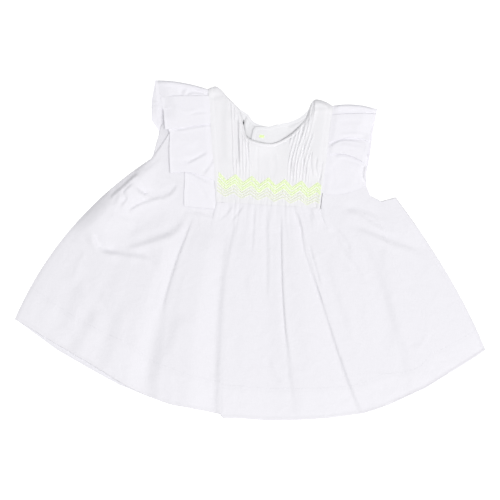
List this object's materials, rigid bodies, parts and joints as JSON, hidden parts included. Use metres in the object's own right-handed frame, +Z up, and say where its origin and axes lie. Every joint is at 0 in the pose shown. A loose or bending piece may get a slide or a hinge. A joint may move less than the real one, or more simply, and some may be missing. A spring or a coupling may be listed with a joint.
{
  "type": "toddler dress",
  "caption": "Toddler's cotton pinafore dress laid flat on its back: pintucked yoke with a smocked band, pleated flutter ruffles and a gathered skirt with a deep hem.",
  "frame": {"origin": "centre of the dress's outline in plan, on the surface that it lies on", "axes": "+Z up, out of the front of the dress; +X across the hem, to the right as one looks down on the front; +Y from the hem towards the neck"},
  "size_m": [0.59, 0.4119, 0.0136],
  "materials": {
    "skirt_cotton": "matt plain-weave cotton, white with a cool cast",
    "yoke_cotton": "matt plain-weave cotton, white, pintucked",
    "ruffle_cotton": "matt plain-weave cotton, white, pressed into pleats",
    "button_shell": "pearly white shell",
    "bright_thread": "fluorescent yellow-green stranded cotton, soft sheen",
    "white_thread": "white sewing thread"
  },
  "bodies": {
    "root": {"skirt_front": "skirt_cotton", "skirt_back": "skirt_cotton", "yoke_front": "yoke_cotton", "yoke_back_outer": "yoke_cotton", "yoke_back_inner": "yoke_cotton", "ruffle_left": "ruffle_cotton", "ruffle_right": "ruffle_cotton", "button_back": "button_shell"}
  },
  "joints": []
}
